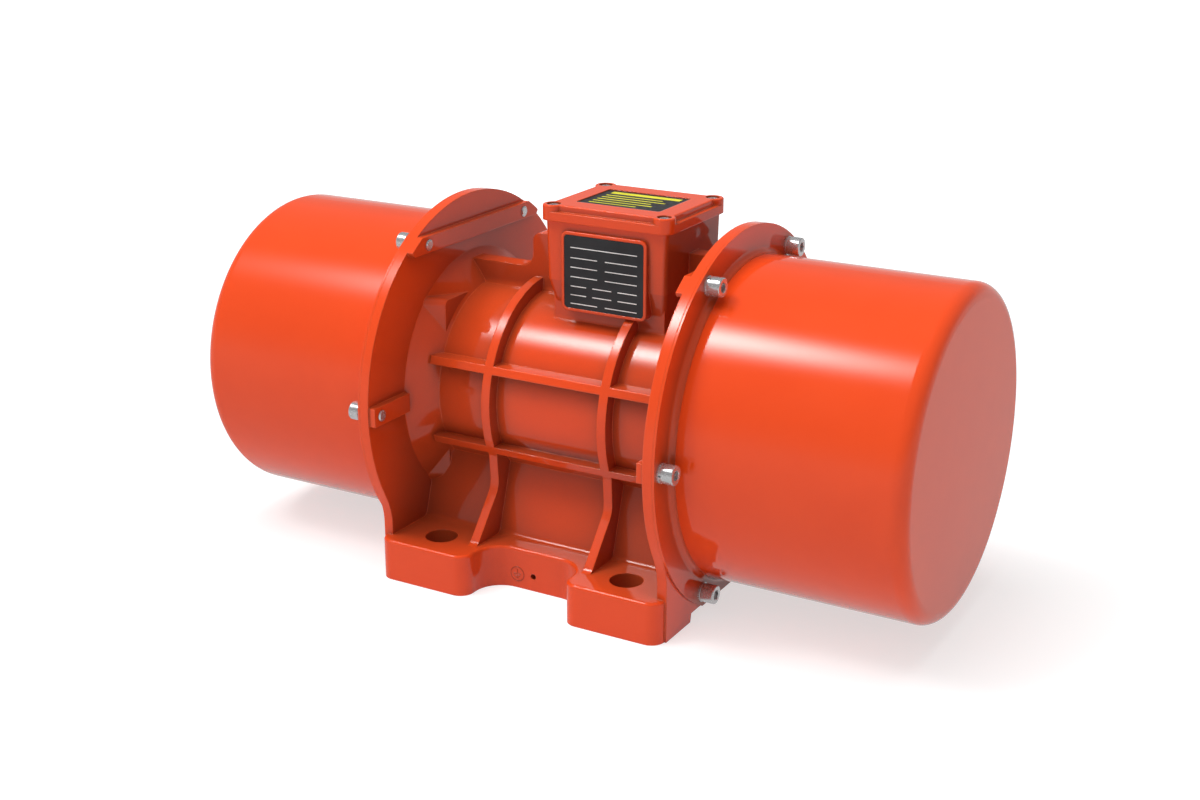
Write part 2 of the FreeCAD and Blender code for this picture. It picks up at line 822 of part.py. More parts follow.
def cover_washers():
    """Flat washer and split spring washer under each cover screw."""
    x1 = rim_face_x + flat_washer_thickness
    x2 = x1 + spring_washer_thickness
    bore = screw_radius + seat_gap
    flat = ring(washer_radius, bore, rim_face_x, x1)
    spring = ring(screw_head_radius - spring_washer_inset, bore, x1, x2)
    half_cut = spring_washer_cut / 2
    spring = spring.cut(block(x1 - 1, x2 + 1, -half_cut, half_cut, 0, washer_radius))
    pieces = []
    for washer in (flat, spring):
        washer.translate(vec(0, 0, screw_circle))
        pieces += [at_angle(washer, angle) for angle in screw_angles]
    return group(pieces)


def lid():
    """Lid with a ledge, a raised middle with the label recess, and four corner bosses."""
    base = rounded_block(lid_half_length, lid_half_width, lid_boss_radius, box_rim_z,
                         box_rim_z + lid_ledge_height, box_x)
    middle = rounded_block(lid_half_length - lid_plateau_inset, lid_half_width - lid_plateau_inset,
                           lid_plateau_round, box_rim_z, lid_top_z, box_x)
    bosses = [post(lid_boss_radius, x, y, box_rim_z, lid_top_z) for x, y in lid_screw_places()]
    body = fused([base, middle] + bosses)
    top = [edge for edge in body.Edges if edge.BoundBox.ZMin > lid_top_z - 0.01]
    body = body.makeFillet(lid_top_round, top)
    cuts = [rounded_block(label_half_length, label_half_width, label_round,
                          label_floor_z, lid_top_z + 1, box_x)]
    for x, y in lid_screw_places():
        cuts.append(post(lid_screw_radius + seat_gap, x, y, box_rim_z - 1, lid_top_z))
        cuts.append(post(lid_screw_pocket_radius, x, y, lid_screw_seat_z, lid_top_z + 1))
    return body.cut(Part.makeCompound(cuts))


def lid_screws():
    """Four socket head screws, sunk into the bosses."""
    screw = socket_screw(lid_screw_radius, lid_screw_length, lid_screw_head_radius, lid_screw_head_height, 0)
    screw.rotate(origin, y_axis, -90)
    screws = []
    for x, y in lid_screw_places():
        placed = screw.copy()
        placed.translate(vec(x, y, lid_screw_seat_z))
        screws.append(placed)
    return group(screws)


def lid_label_plate():
    return rounded_block(label_half_length - side_gap, label_half_width - side_gap, label_round,
                         label_floor_z, label_floor_z + label_thickness, box_x)


def nameplate():
    back = frame_face_y + nameplate_sink
    return along_y(plate_area(side_gap), back - nameplate_thickness, back)


def stud_places():
    return [(box_x + i * stud_spacing_x, j * stud_spacing_y / 2) for i in (-1, 0, 1) for j in (-1, 1)]


def board_screw_places():
    return [box_x - board_post_x, box_x + board_post_x]


def terminal_board():
    """Board with a raised bar between the terminals."""
    board = rounded_block(board_half_length, board_half_width, board_round, board_z, board_top_z, box_x)
    bars = []
    for side in (-1, 1):
        middle_x = box_x + side * stud_spacing_x / 2
        bars.append(block(middle_x - board_bar_width / 2, middle_x + board_bar_width / 2,
                          board_bar_inset - board_half_width, board_half_width - board_bar_inset,
                          board_top_z - 1, board_top_z + board_bar_height))
    holes = [post(stud_radius + fit_gap, x, y, board_z - 1, board_top_z + 1) for x, y in stud_places()]
    holes += [post(board_screw_radius + seat_gap, x, 0, board_z - 1, board_top_z + 1)
              for x in board_screw_places()]
    return fused([board] + bars).cut(Part.makeCompound(holes))


def board_screws():
    """Two slotted screws that hold the terminal board on its posts."""
    end_z = board_top_z + board_screw_head_height
    half_slot = board_screw_slot / 2
    reach = board_screw_head_radius + 1
    screws = []
    for x in board_screw_places():
        head = post(board_screw_head_radius, x, 0, board_top_z, end_z)
        shank = post(board_screw_radius, x, 0, board_z, board_top_z + 1)
        slot = block(x - reach, x + reach, -half_slot, half_slot,
                     end_z - board_screw_head_height / 2, end_z + 1)
        screws.append(fused([head, shank]).cut(slot))
    return group(screws)


def terminal_studs():
    """Studs with the nut that clamps the link."""
    nut_z = board_top_z + link_thickness
    studs = []
    for x, y in stud_places():
        nut = along_z(hexagon(stud_nut_across), nut_z, nut_z + stud_nut_height)
        nut.translate(vec(x, y, 0))
        studs.append(fused([post(stud_radius, x, y, board_z, board_z + stud_length), nut]))
    return group(studs)


def terminal_links():
    """Flat links across each pair of studs."""
    half = (stud_spacing_y + link_width) / 2
    links = []
    for i in (-1, 0, 1):
        x = box_x + i * stud_spacing_x
        link = rounded_block(link_width / 2, half, link_width / 2 - side_gap, board_top_z,
                             board_top_z + link_thickness, x)
        holes = [post(stud_radius + fit_gap, x, side * stud_spacing_y / 2,
                      board_z, board_top_z + 2 * link_thickness) for side in (-1, 1)]
        links.append(link.cut(Part.makeCompound(holes)))
    return group(links)


def box_earth_screw():
    """Earth screw inside the terminal box with its clamp washer."""
    head_z = box_earth_z + link_thickness
    washer = post(box_earth_washer_radius, box_earth_x, box_earth_y, box_earth_z, head_z)
    head = along_z(hexagon(stud_nut_across), head_z, head_z + box_earth_head_height)
    head.translate(vec(box_earth_x, box_earth_y, 0))
    return fused([washer, head])


def cable_gland():
    """Gland body with hexagon, thread stub inside the wall and domed cap."""
    cap_end_y = gland_cap_y + gland_cap_length
    thread = Part.makeCylinder(gland_thread_radius, gland_thread_depth + 1,
                               vec(0, box_rim_y - gland_thread_depth, 0), y_axis)
    nut = along_y(hexagon(gland_hex_across), box_rim_y, gland_cap_y)
    cap = Part.makeCylinder(gland_cap_radius, gland_cap_length, vec(0, gland_cap_y, 0), y_axis)
    rim = [edge for edge in cap.Edges if edge.BoundBox.YMin > cap_end_y - 0.01]
    body = fused([thread, nut, cap.makeFillet(gland_cap_round, rim)])
    hole = Part.makeCylinder(gland_bore_radius + gland_seal_wall, cap_end_y, origin, y_axis)
    body = body.cut(hole)
    body.translate(vec(box_x, 0, gland_z))
    return body


def gland_seal():
    """Rubber ring inside the gland."""
    place = vec(box_x, gland_cap_y, gland_z)
    outer = Part.makeCylinder(gland_bore_radius + gland_seal_wall, gland_cap_length, place, y_axis)
    return outer.cut(Part.makeCylinder(gland_bore_radius, gland_cap_length, place, y_axis))


def slot_outline(gap):
    """Outline (y, z) of a stator slot at the top, smaller by a gap all round."""
    low = stator_inner_radius + tooth_tip + gap
    high = slot_bottom_radius - gap
    narrow = slot_width / 2 - gap
    wide = narrow + slot_flare
    return [(-narrow, low), (narrow, low), (wide, high), (-wide, high)]


def stator_core():
    """Laminated ring with open slots."""
    core = ring(stator_outer_radius, stator_inner_radius, -stator_half_length, stator_half_length)
    reach = stator_half_length + 1
    mouth = block(-reach, reach, -slot_mouth / 2, slot_mouth / 2, stator_inner_radius - 1,
                  stator_inner_radius + 2 * tooth_tip)
    cut = fused([along_x(slot_outline(0), -reach, reach), mouth])
    return core.cut(Part.makeCompound([at_angle(cut, angle) for angle in slot_angles]))


def stator_windings():
    """Coils in the slots and the two wound ends."""
    inner = stator_inner_radius + winding_air_gap
    outer = bore_radius - winding_bore_gap
    start_x = stator_half_length + winding_core_gap
    coil = along_x(slot_outline(coil_gap), -start_x - 1, start_x + 1)
    end = turned([(start_x, inner), (winding_half_length, inner, winding_round),
                  (winding_half_length, outer, winding_round), (start_x, outer)])
    return fused(both_ends(end) + [at_angle(coil, angle) for angle in slot_angles])


def shaft():
    """Stepped shaft with the keyways of the fixed weights."""
    right = [(bearing_x, rotor_shaft_radius), (bearing_x, journal_radius), (weight_x, journal_radius),
             (weight_x, weight_journal_radius), (shaft_end_x - shaft_chamfer, weight_journal_radius),
             (shaft_end_x, weight_journal_radius - shaft_chamfer), (shaft_end_x, 0)]
    body = turned([(-x, r) for x, r in reversed(right)] + right)
    return body.cut(Part.makeCompound(both_ends(weight_key())))


def weight_key():
    """Key between shaft and fixed weight, on the side away from the weight."""
    half = weight_key_width / 2
    return block(weight_x + weight_key_inset, weight_end_x - weight_key_inset, -half, half,
                 weight_journal_radius - weight_key_depth, weight_key_top_z)


def rotor_core():
    return ring(rotor_radius, rotor_shaft_radius + fit_gap, -rotor_half_length, rotor_half_length)


def rotor_end_rings():
    """Cast end rings with cooling fins on both faces of the rotor core."""
    x0 = rotor_half_length
    x1 = x0 + rotor_ring_length
    end = ring(rotor_ring_outer_radius, rotor_ring_inner_radius, x0, x1)
    fin = block(x1 - 1, x1 + rotor_fin_length, -rotor_fin_width / 2, rotor_fin_width / 2,
                rotor_ring_inner_radius + 1, rotor_ring_outer_radius - 1)
    pieces = fused([end] + [at_angle(fin, i * 360 / rotor_fins) for i in range(rotor_fins)])
    return group(both_ends(pieces))


def bearing_flange():
    """Flange in the end of the casing that holds the bearing."""
    spigot_x = flange_x - flange_spigot_length
    spigot = bore_radius - fit_gap
    lip = outer_race_radius + seat_gap
    body = turned([(spigot_x, lip), (spigot_x, spigot), (flange_x, spigot), (flange_x, flange_radius),
                   (flange_face_x, flange_radius), (flange_face_x, bearing_seat_radius),
                   (bearing_x, bearing_seat_radius), (bearing_x, lip)])
    clear = disc(flange_screw_radius + seat_gap, flange_x - 1, flange_face_x + 1, 0, flange_screw_circle)
    depth = bearing_cover_screw_length - bearing_cover_thickness + tip_gap
    tapped = disc(bearing_cover_screw_radius + fit_gap, flange_face_x - depth, flange_face_x + 1, 0,
                  bearing_cover_screw_circle)
    holes = [at_angle(clear, angle) for angle in flange_screw_angles]
    holes += [at_angle(tapped, angle) for angle in bearing_cover_screw_angles]
    return body.cut(Part.makeCompound(holes))


def bearing_flange_screws():
    screw = socket_screw(flange_screw_radius, flange_screw_length, flange_screw_head_radius,
                         flange_screw_head_height, flange_face_x)
    screw.translate(vec(0, 0, flange_screw_circle))
    return group([at_angle(screw, angle) for angle in flange_screw_angles])


def bearing_cover():
    """Cover that holds the outer ring of the bearing in its seat."""
    spigot_x = bearing_end_x + fit_gap
    spigot = bearing_outer_radius - seat_gap
    body = turned([(spigot_x, bearing_cover_bore), (spigot_x, spigot), (flange_face_x, spigot),
                   (flange_face_x, bearing_cover_radius), (bearing_cover_face_x, bearing_cover_radius),
                   (bearing_cover_face_x, bearing_cover_bore)])
    recess = ring(outer_lip_radius, bearing_cover_bore - 1, spigot_x - 1, spigot_x + bearing_cover_recess)
    hole = disc(bearing_cover_screw_radius + seat_gap, flange_face_x - 1, bearing_cover_face_x + 1, 0,
                bearing_cover_screw_circle)
    holes = [at_angle(hole, angle) for angle in bearing_cover_screw_angles]
    return body.cut(Part.makeCompound([recess] + holes))


def bearing_cover_screws():
    screw = socket_screw(bearing_cover_screw_radius, bearing_cover_screw_length,
                         bearing_cover_screw_head_radius, bearing_cover_screw_head_height,
                         bearing_cover_face_x)
    screw.translate(vec(0, 0, bearing_cover_screw_circle))
    return group([at_angle(screw, angle) for angle in bearing_cover_screw_angles])


def bearing_outer_ring():
    """Outer ring with a lip on each side of the raceway."""
    x0 = bearing_x
    x1 = bearing_end_x
    return turned([(x0, outer_lip_radius), (x0, bearing_outer_radius), (x1, bearing_outer_radius),
                   (x1, outer_lip_radius), (x1 - race_lip, outer_lip_radius),
                   (x1 - race_lip, outer_race_radius), (x0 + race_lip, outer_race_radius),
                   (x0 + race_lip, outer_lip_radius)])


def bearing_inner_ring():
    """Inner ring with one lip on the rotor side."""
    bore = journal_radius + fit_gap
    race_x = bearing_x + race_lip
    return turned([(bearing_x, bore), (bearing_x, inner_lip_radius), (race_x, inner_lip_radius),
                   (race_x, inner_race_radius), (bearing_end_x, inner_race_radius), (bearing_end_x, bore)])


def roller_set():
    """Rollers in the pockets of their cage."""
    x0 = bearing_x + race_lip + roller_end_gap
    x1 = bearing_end_x - race_lip - roller_end_gap
    roller = disc(roller_radius, x0, x1, 0, roller_circle)
    pocket = disc(roller_radius + pocket_gap, x0 - pocket_gap, x1 + pocket_gap, 0, roller_circle)
    cage = ring(roller_circle + cage_half_thickness, roller_circle - cage_half_thickness,
                bearing_x + cage_end_gap, bearing_end_x - cage_end_gap)
    angles = [i * 360 / roller_count for i in range(roller_count)]
    cage = cage.cut(Part.makeCompound([at_angle(pocket, angle) for angle in angles]))
    return group([cage] + [at_angle(roller, angle) for angle in angles])


def spacer_sleeve():
    return ring(spacer_radius, journal_radius + fit_gap, bearing_end_x, weight_x)


def weight_body(x0, x1):
    """Hub with a thick sector below it."""
    side = math.radians(weight_half_angle)
    reach = 2 * weight_radius
    edge_y = reach * math.sin(side)
    edge_z = -reach * math.cos(side)
    wedge = along_x([(0, 0), (edge_y, edge_z), (reach, -reach), (-reach, -reach), (-edge_y, edge_z)], x0, x1)
    sector = disc(weight_radius, x0, x1).common(wedge)
    rim = [edge for edge in sector.Edges if edge.BoundBox.XMax - edge.BoundBox.XMin > x1 - x0 - 0.01
           and abs(edge.BoundBox.YMin) > weight_hub_radius]
    sector = sector.makeFillet(weight_corner_round, rim)
    return fused([sector, disc(weight_hub_radius, x0, x1)])


def fixed_weight():
    """Weight keyed to the shaft."""
    half = weight_key_width / 2
    bore = disc(weight_journal_radius + fit_gap, weight_x - 1, weight_end_x + 1)
    slot = block(weight_x - 1, weight_end_x + 1, -half, half, 0, weight_key_top_z + seat_gap)
    return weight_body(weight_x, weight_end_x).cut(bore).cut(slot)


def adjustable_weight():
    """Weight that turns on the shaft when its split hub is loosened."""
    x0 = adjustable_x
    x1 = adjustable_end_x
    half = clamp_ear_half_width
    ear = block(x0, x1, -half, half, 0, clamp_ear_top)
    body = fused([weight_body(x0, x1), ear])
    bore = disc(weight_journal_radius + turning_gap, x0 - 1, x1 + 1)
    slot = block(x0 - 1, x1 + 1, -clamp_slot / 2, clamp_slot / 2, 0, clamp_ear_top + 1)
    hole = Part.makeCylinder(clamp_bolt_radius + fit_gap, 4 * half,
                             vec(clamp_bolt_x, -2 * half, clamp_bolt_z), y_axis)
    return body.cut(bore).cut(slot).cut(hole)


def clamp_bolt():
    """Bolt and nut across the split hub."""
    half = clamp_ear_half_width
    nut_end = half + clamp_nut_height
    tip = nut_end + clamp_bolt_tail
    shank = Part.makeCylinder(clamp_bolt_radius, half + tip, vec(0, -half, 0), y_axis)
    head = along_y(hexagon(clamp_head_across), -half - clamp_head_height, -half)
    nut = along_y(hexagon(clamp_head_across), half, nut_end)
    bolt = fused([shank, head, nut])
    bolt.translate(vec(clamp_bolt_x, 0, clamp_bolt_z))
    return bolt


def weight_washer():
    bore = weight_journal_radius + fit_gap
    return ring(weight_journal_radius + weight_washer_wall, bore, weight_end_x, weight_washer_end_x)


def setting_disc():
    """Disc beside the adjustable weight with a notch at its zero mark."""
    radius = weight_journal_radius + setting_disc_wall
    half = setting_notch / 2
    body = ring(radius, weight_journal_radius + fit_gap, setting_disc_x, shaft_nut_x)
    return body.cut(block(setting_disc_x - 1, shaft_nut_x + 1, -half, half,
                          radius - setting_notch, radius + 1))


def shaft_nut():
    """Slotted round nut on the end of the shaft."""
    radius = weight_journal_radius + shaft_nut_wall
    half = shaft_nut_slot_width / 2
    body = ring(radius, weight_journal_radius + fit_gap, shaft_nut_x, shaft_nut_end_x)
    slot = block(shaft_nut_x - 1, shaft_nut_end_x + 1, -half, half,
                 radius - shaft_nut_slot_depth, radius + 1)
    slots = [at_angle(slot, i * 360 / shaft_nut_slots) for i in range(shaft_nut_slots)]
    return body.cut(Part.makeCompound(slots))


def build():
    """All nodes by name."""
    nodes = {
        "motor_casing": casing(),
        "terminal_box_lid": lid(),
        "lid_gasket": lid_gasket(),
        "lid_screws": lid_screws(),
        "lid_label_plate": lid_label_plate(),
        "nameplate": nameplate(),
        "terminal_board": terminal_board(),
        "terminal_board_screws": board_screws(),
        "terminal_studs": terminal_studs(),
        "terminal_links": terminal_links(),
        "box_earth_screw": box_earth_screw(),
        "cable_gland": cable_gland(),
        "gland_seal": gland_seal(),
        "stator_core": stator_core(),
        "stator_windings": stator_windings(),
        "shaft": shaft(),
        "rotor_core": rotor_core(),
        "rotor_end_rings": rotor_end_rings(),
    }
    ends = {
        "cover": cover(),
        "cover_rim": cover_rim(),
        "cover_seal": cover_seal(),
        "cover_screws": cover_screws(),
        "cover_washers": cover_washers(),
        "bearing_flange": bearing_flange(),
        "bearing_flange_screws": bearing_flange_screws(),
        "bearing_cover": bearing_cover(),
        "bearing_cover_screws": bearing_cover_screws(),
        "bearing_outer_ring": bearing_outer_ring(),
        "bearing_inner_ring": bearing_inner_ring(),
        "roller_set": roller_set(),
        "spacer_sleeve": spacer_sleeve(),
        "fixed_weight": fixed_weight(),
        "weight_key": weight_key(),
        "weight_washer": weight_washer(),
        "adjustable_weight": adjustable_weight(),
        "clamp_bolt": clamp_bolt(),
        "setting_disc": setting_disc(),
        "shaft_nut": shaft_nut(),
    }
    for name, shape in ends.items():
        nodes[name + "_right"] = shape
        nodes[name + "_left"] = mirrored(shape)
    return nodes


os.makedirs("parts", exist_ok=True)
for node, solid in build().items():
    lifted = solid.copy()
    lifted.translate(vec(0, 0, shaft_height))
    lifted.exportStep("parts/" + node + ".step")
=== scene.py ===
import bmesh
import bpy
import json
import math
from mathutils import Matrix, Vector

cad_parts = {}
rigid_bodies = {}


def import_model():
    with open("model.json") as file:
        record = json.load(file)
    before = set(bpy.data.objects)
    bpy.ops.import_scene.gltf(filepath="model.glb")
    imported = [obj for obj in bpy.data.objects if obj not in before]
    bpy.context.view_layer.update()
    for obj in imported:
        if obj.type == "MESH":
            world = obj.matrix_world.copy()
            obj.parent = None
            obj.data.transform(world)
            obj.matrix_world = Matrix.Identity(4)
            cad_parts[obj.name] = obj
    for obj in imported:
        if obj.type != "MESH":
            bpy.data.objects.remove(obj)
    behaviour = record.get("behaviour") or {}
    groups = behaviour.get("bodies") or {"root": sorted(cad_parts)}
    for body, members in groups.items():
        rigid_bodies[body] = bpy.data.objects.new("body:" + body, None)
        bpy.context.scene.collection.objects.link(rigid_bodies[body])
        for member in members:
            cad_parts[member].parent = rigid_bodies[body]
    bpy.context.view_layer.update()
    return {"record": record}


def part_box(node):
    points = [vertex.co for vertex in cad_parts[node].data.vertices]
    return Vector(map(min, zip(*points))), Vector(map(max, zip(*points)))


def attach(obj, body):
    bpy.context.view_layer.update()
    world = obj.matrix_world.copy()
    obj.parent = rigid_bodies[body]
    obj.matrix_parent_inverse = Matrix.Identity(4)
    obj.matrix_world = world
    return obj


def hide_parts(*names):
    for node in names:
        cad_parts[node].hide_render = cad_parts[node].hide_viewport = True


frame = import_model()

# Camera, solved from the photograph's outline of covers, flanges and lid
shaft_height = 0.1245
camera_azimuth = math.radians(29.87)
camera_elevation = math.radians(18.57)
camera_distance = 1.2327
sensor_width = 36.0
focal_pixels = 1718.19
image_width = 1200
shift_pixels = 10.57

# Studio light: radiance of the room, and the soft window that the gloss mirrors
room_light = 0.27
window_strength = 18.5
window_x = -0.445
window_width = 0.080
window_height = 0.094
window_up = (0, 0.942, 0.336)
horizon_rise = 0.38
lamp_aim = (0, 0, 0.12)
lamps = (
    # name, place, size, power
    ("top", (-0.3, -0.3, 2.6), 2.0, 49),
    ("front", (-0.5, -1.9, 2.0), 1.4, 7),
    ("right", (2.3, -0.2, 0.5), 1.0, 3),
)

# Floor: how much it bounces, shows and mirrors, and where it fades to white
floor_half_width = 12
floor_bounce = 0.8
floor_seen = 0.5
floor_lift = 0.62
floor_mirrored = 0.63
floor_fade_start = 0.7
floor_fade_end = 1.6
foot_hole = (0.075, 0.095, 0)
hole_shade_radius = 0.014


def add_camera():
    """Camera at the photograph's place, aimed at the middle of the shaft."""
    away = Vector((math.sin(camera_azimuth) * math.cos(camera_elevation),
                   -math.cos(camera_azimuth) * math.cos(camera_elevation),
                   math.sin(camera_elevation)))
    data = bpy.data.cameras.new("camera")
    data.sensor_width = sensor_width
    data.lens = focal_pixels / image_width * sensor_width
    data.shift_y = -shift_pixels / image_width
    camera = bpy.data.objects.new("camera", data)
    camera.location = Vector((0, 0, shaft_height)) + away * camera_distance
    camera.rotation_euler = away.to_track_quat("Z", "Y").to_euler()
    bpy.context.collection.objects.link(camera)
    bpy.context.scene.camera = camera


# Materials

class Shader:
    """A material's node tree with short calls for the nodes used here."""

    def __init__(self, name):
        self.material = bpy.data.materials.new(name)
        self.material.use_nodes = True
        self.tree = self.material.node_tree
        self.principled = self.tree.nodes["Principled BSDF"]
        self.coords = self.tree.nodes.new("ShaderNodeTexCoord").outputs["Object"]

    def set(self, **values):
        """Set the shader's own sockets; underscores stand for spaces."""
        for name, value in values.items():
            self.principled.inputs[name.replace("_", " ")].default_value = value

    def link(self, source, target):
        self.tree.links.new(source, target)

    def feed(self, name, source):
        self.link(source, self.principled.inputs[name])

    def noise(self, scale, detail=3.0, roughness=0.5, stretch=(1, 1, 1)):
        """Noise in object space; scale is in cells per metre."""
        node = self.tree.nodes.new("ShaderNodeTexNoise")
        node.inputs["Scale"].default_value = scale
        node.inputs["Detail"].default_value = detail
        node.inputs["Roughness"].default_value = roughness
        mapping = self.tree.nodes.new("ShaderNodeMapping")
        mapping.inputs["Scale"].default_value = stretch
        self.link(self.coords, mapping.inputs["Vector"])
        self.link(mapping.outputs["Vector"], node.inputs["Vector"])
        return node.outputs["Fac"]

    def ramp(self, source, low, high, start=0.35, end=0.65):
        """Map a value between two numbers or two colours."""
        if isinstance(low, tuple):
            node = self.tree.nodes.new("ShaderNodeValToRGB")
            first, last = node.color_ramp.elements
            first.position, first.color = start, (*low, 1)
            last.position, last.color = end, (*high, 1)
            self.link(source, node.inputs["Fac"])
            return node.outputs["Color"]
        node = self.tree.nodes.new("ShaderNodeMapRange")
        node.inputs["From Min"].default_value = start
        node.inputs["From Max"].default_value = end
        node.inputs["To Min"].default_value = low
        node.inputs["To Max"].default_value = high
        self.link(source, node.inputs["Value"])
        return node.outputs["Result"]

    def math(self, operation, *values):
        """Math node on numbers or node outputs."""
        node = self.tree.nodes.new("ShaderNodeMath")
        node.operation = operation
        for socket, value in zip(node.inputs, values):
            if isinstance(value, (int, float)):
                socket.default_value = value
            else:
                self.link(value, socket)
        return node.outputs["Value"]

    def rounded(self, radius):
        """Normal that softens edges and inner corners by a small radius."""
        node = self.tree.nodes.new("ShaderNodeBevel")
        node.samples = 4
        node.inputs["Radius"].default_value = radius
        return node.outputs["Normal"]

    def bend(self, softened):
        """How much an edge turns the softened normal: 0 on a face, towards 1 on an edge."""
        node = self.tree.nodes.new("ShaderNodeVectorMath")
        node.operation = "DOT_PRODUCT"
        self.link(softened, node.inputs[0])
        self.link(self.tree.nodes.new("ShaderNodeNewGeometry").outputs["Normal"], node.inputs[1])
        return self.ramp(node.outputs["Value"], 1.0, 0.0, *edge_turn)

    def recess(self, reach, own=True):
        """How open the surface is to its own walls or to any: 1 in the open, towards 0 deep inside."""
        node = self.tree.nodes.new("ShaderNodeAmbientOcclusion")
        node.samples = 8
        node.only_local = own
        node.inputs["Distance"].default_value = reach
        return node.outputs["AO"]

    def mix(self, factor, first, second):
        """Colour between two colours or node outputs."""
        node = self.tree.nodes.new("ShaderNodeMix")
        node.data_type = "RGBA"
        self.link(factor, node.inputs["Factor"])
        for socket, value in ((node.inputs["A"], first), (node.inputs["B"], second)):
            if isinstance(value, tuple):
                socket.default_value = (*value, 1)
            else:
                self.link(value, socket)
        return node.outputs["Result"]

    def bump(self, source, strength, distance, onto=None):
        node = self.tree.nodes.new("ShaderNodeBump")
        node.inputs["Strength"].default_value = strength
        node.inputs["Distance"].default_value = distance
        self.link(source, node.inputs["Height"])
        if onto is not None:
            self.link(onto, node.inputs["Normal"])
        return node.outputs["Normal"]


# Paint: cells per metre of its colour drift, painted edge highlight, gloss, orange peel and cast skin
drift_scale = 14
edge_highlight_scale = 90
gloss_scale = 30
peel_scale = 330
skin_scale = 75
gloss_roughness = (0.045, 0.085)
cast_edge_radius = 0.0012
sheet_edge_radius = 0.0006
# Openness at which the painted shade colour is full and gone
painted_shade_range = (0.45, 1.0)
# Turn of the normal, as a cosine, at which an edge gets the full painted highlight and none
edge_turn = (0.80, 0.985)


def glossy_paint(name, colour, deep, casting=True, shade_reach=None):
    """Gloss enamel: slow colour drift, orange peel, softened edges with a painted highlight, and a cast
    skin under it.

    It has painted shade, a deeper colour, in recesses: a casting's own, or those beside any piece
    within shade_reach.
    """
    paint = Shader(name)
    paint.set(Specular_IOR_Level=0.5, IOR=1.5)
    coat = paint.ramp(paint.noise(drift_scale, 5, 0.6), deep, colour, 0.34, 0.6)
    if casting or shade_reach:
        # Painted shade: the colour goes deeper where the surface is closed in
        hollow = paint.recess(shade_reach or painted_shade_reach, casting)
        coat = paint.mix(paint.ramp(hollow, 0.0, 1.0, *painted_shade_range), painted_shade_colour, coat)
    edge = paint.rounded(cast_edge_radius if casting else sheet_edge_radius)
    # Painted highlight: lighter colour on edges, broken up by noise
    edge_highlight = paint.math("MULTIPLY", paint.bend(edge), paint.ramp(paint.noise(edge_highlight_scale, 3), 0.25, 1.0))
    paint.feed("Base Color", paint.mix(edge_highlight, coat, edge_highlight_colour))
    paint.feed("Roughness", paint.ramp(paint.noise(gloss_scale, 3), *gloss_roughness))
    peel = paint.bump(paint.noise(peel_scale, 2), 0.14, 0.00002, edge)
    if casting:
        peel = paint.bump(paint.noise(skin_scale, 3), 0.10, 0.0001, peel)
    paint.feed("Normal", peel)
    return paint.material


def steel(name, colour, roughness, grain=(1, 1, 1), metallic=1.0):
    """Bright metal with a fine turned grain and slight stains."""
    metal = Shader(name)
    metal.set(Metallic=metallic)
    dark = tuple(c * 0.82 for c in colour)
    metal.feed("Base Color", metal.ramp(metal.noise(60, 4), dark, colour))
    smooth = roughness * 0.85
    metal.feed("Roughness", metal.ramp(metal.noise(900, 2, 0.5, grain), smooth, roughness * 1.15))
    metal.feed("Normal", metal.bump(metal.noise(1400, 2, 0.5, grain), 0.05, 0.00001))
    return metal.material


def matt(name, colour, roughness, grain_scale=1500, depth=0.00003):
    """Rubber or moulding compound with a fine grain."""
    skin = Shader(name)
    light = tuple(min(1, c * 1.35 + 0.004) for c in colour)
    skin.feed("Base Color", skin.ramp(skin.noise(40, 4), colour, light))
    skin.feed("Roughness", skin.ramp(skin.noise(200, 3), roughness * 0.85, min(1, roughness * 1.15)))
    skin.feed("Normal", skin.bump(skin.noise(grain_scale, 2), 0.4, depth))
    return skin.material


orange = (0.874, 0.075, 0.0115)
orange_deep = (0.850, 0.070, 0.0105)
# Painted shade: the colour put in recesses
painted_shade_colour = (0.42, 0.060, 0.018)
# Painted highlight: the lighter colour put on edges
edge_highlight_colour = (0.92, 0.125, 0.030)
# Reach of the painted shade: a casting's own walls, and pieces beside a cover rim
painted_shade_reach = 0.09
rim_shade_reach = 0.03
materials = {
    "orange_paint": glossy_paint("orange_paint", orange, orange_deep),
    "orange_paint_sheet": glossy_paint("orange_paint_sheet", orange, orange_deep, False),
    "rim_shaded_paint": glossy_paint("rim_shaded_paint", orange, orange_deep, False, rim_shade_reach),
    "rubber": matt("rubber", (0.012, 0.012, 0.012), 0.75),
    "bright_steel": steel("bright_steel", (0.78, 0.78, 0.79), 0.24, metallic=0.8),
    "black_label": matt("black_label", (0.012, 0.012, 0.014), 0.42, 900, 0.00001),
    "brown_moulding": matt("brown_moulding", (0.07, 0.03, 0.014), 0.55),
    "brass": steel("brass", (0.80, 0.55, 0.22), 0.3),
    "black_plastic": matt("black_plastic", (0.014, 0.014, 0.015), 0.5),
    "core_steel": steel("core_steel", (0.33, 0.33, 0.35), 0.45, (20, 1, 1)),
    "winding": steel("winding", (0.62, 0.25, 0.09), 0.38, (1, 12, 12)),
    "cast_aluminium": steel("cast_aluminium", (0.66, 0.67, 0.68), 0.5),
    "ground_steel": steel("ground_steel", (0.62, 0.63, 0.65), 0.22, (30, 1, 1)),
    "grey_iron": matt("grey_iron", (0.10, 0.10, 0.105), 0.6, 700, 0.0001),
    "white_print": matt("white_print", (0.74, 0.74, 0.72), 0.5, 2500, 0.000005),
    "yellow_print": matt("yellow_print", (0.66, 0.62, 0.03), 0.5, 2500, 0.000005),
    # Painted shade: dark red on the earth mark's ridges stands in for the shade in its cast lines
    "mark_shade_paint": glossy_paint("mark_shade_paint", (0.42, 0.045, 0.012), (0.36, 0.040, 0.012), False),
}


